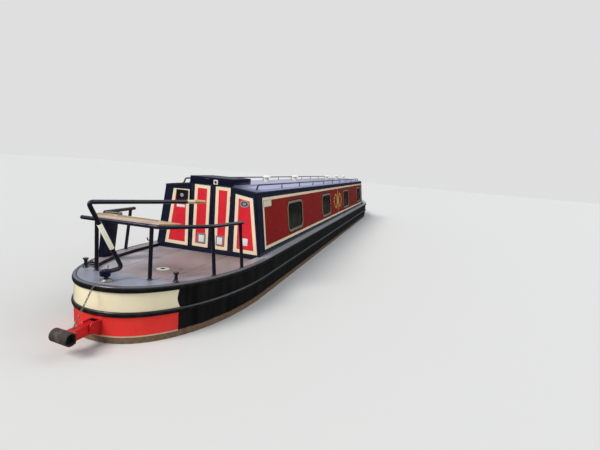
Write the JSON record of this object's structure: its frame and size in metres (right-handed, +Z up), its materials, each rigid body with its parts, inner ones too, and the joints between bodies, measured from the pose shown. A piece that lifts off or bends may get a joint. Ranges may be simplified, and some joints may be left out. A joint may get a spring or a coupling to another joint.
{
  "type": "narrowboat",
  "caption": "Steel canal narrowboat with a long windowed cabin, open stern deck with rails and tiller, well deck, rudder and propeller.",
  "frame": {"origin": "underside of the base plate, on the centreline, in line with the aft face of the cabin's rear bulkhead", "axes": "+Y towards the bow, +X to starboard, +Z up"},
  "size_m": [2.1296, 18.9239, 2.4004],
  "materials": {
    "hull_black": "satin black paint over steel, worn at the edges",
    "bottom_black": "matt bitumen black",
    "coach_paint": "gloss red coach panels on navy with cream lines",
    "navy_paint": "gloss navy paint",
    "roof_paint": "satin lavender grey paint",
    "deck_paint": "satin blue-grey deck paint",
    "deck_boards": "weathered painted boards",
    "varnished_wood": "gloss varnish",
    "polished_brass": "polished, slightly tarnished",
    "white_paint": "gloss off-white",
    "window_glass": "dark glass",
    "bright_steel": "dull galvanised",
    "engine_paint": "satin green",
    "fender_red": "gloss red",
    "fender_rubber": "weathered matt",
    "fender_rope": "tarred rope work"
  },
  "bodies": {
    "root": {"hull": "hull_black", "upper_strake": "hull_black", "lower_strake": "hull_black", "base_plate": "bottom_black", "stern_deck": "deck_paint", "deck_boards": "deck_boards", "engine": "engine_paint", "roof": "roof_paint", "cabin_side_starboard": "coach_paint", "cabin_side_port": "coach_paint", "window_glass_starboard_1": "window_glass", "window_glass_starboard_2": "window_glass", "window_glass_starboard_3": "window_glass", "window_glass_starboard_4": "window_glass", "window_glass_port_1": "window_glass", "window_glass_port_2": "window_glass", "window_glass_port_3": "window_glass", "window_glass_port_4": "window_glass", "rear_bulkhead": "coach_paint", "front_bulkhead": "coach_paint", "handrail_starboard": "navy_paint", "handrail_port": "navy_paint", "roof_vent_1": "white_paint", "roof_vent_2": "white_paint", "roof_vent_3": "white_paint", "roof_vent_4": "white_paint", "headlamp": "bright_steel", "stern_stud_port": "hull_black", "stern_stud_starboard": "hull_black", "bow_stud": "hull_black", "stern_rail": "navy_paint", "port_rail": "navy_paint", "seat_board": "varnished_wood", "quarter_locker": "navy_paint", "fender_bracket": "fender_red", "fender_arm": "fender_red", "fender_roll": "fender_rubber", "fender_chain": "bright_steel", "bow_fender": "fender_rope"},
    "steering": {"rudder": "bottom_black", "tiller": "navy_paint", "tiller_grip": "varnished_wood"},
    "screw": {"propeller": "polished_brass"},
    "hatch": {"slide_hatch": "navy_paint"},
    "aft_door_port": {"rear_door_port": "coach_paint"},
    "aft_door_starboard": {"rear_door_starboard": "coach_paint"},
    "fore_door_port": {"front_door_port": "coach_paint"},
    "fore_door_starboard": {"front_door_starboard": "coach_paint"},
    "locker_lid": {"bow_locker_lid": "deck_paint"}
  },
  "joints": [
    {"name": "helm", "type": "hinge", "parent": "root", "child": "steering", "pos_m": [0, -2.285, 0.6], "axis": [0, 0, 1], "range_deg": [-18, 58]},
    {"name": "propeller_spin", "type": "hinge", "parent": "root", "child": "screw", "pos_m": [0, -1.85, 0.3], "axis": [0, 1, 0], "continuous": true},
    {"name": "hatch_slide", "type": "slide", "parent": "root", "child": "hatch", "axis": [0, 1, 0], "range_m": [0, 0.64]},
    {"name": "rear_door_port_hinge", "type": "hinge", "parent": "root", "child": "aft_door_port", "pos_m": [-0.338, 0, 1.76], "axis": [0, 0, -1], "range_deg": [0, 110]},
    {"name": "rear_door_starboard_hinge", "type": "hinge", "parent": "root", "child": "aft_door_starboard", "pos_m": [0.364, 0, 1.76], "axis": [0, 0, 1], "range_deg": [0, 110]},
    {"name": "front_door_port_hinge", "type": "hinge", "parent": "root", "child": "fore_door_port", "pos_m": [-0.298, 12.6, 1.5], "axis": [0, 0, 1], "range_deg": [0, 100]},
    {"name": "front_door_starboard_hinge", "type": "hinge", "parent": "root", "child": "fore_door_starboard", "pos_m": [0.298, 12.6, 1.5], "axis": [0, 0, -1], "range_deg": [0, 100]},
    {"name": "bow_lid_hinge", "type": "hinge", "parent": "root", "child": "locker_lid", "pos_m": [0, 14.762, 1.3455], "axis": [-1, 0, 0], "range_deg": [0, 95]}
  ]
}
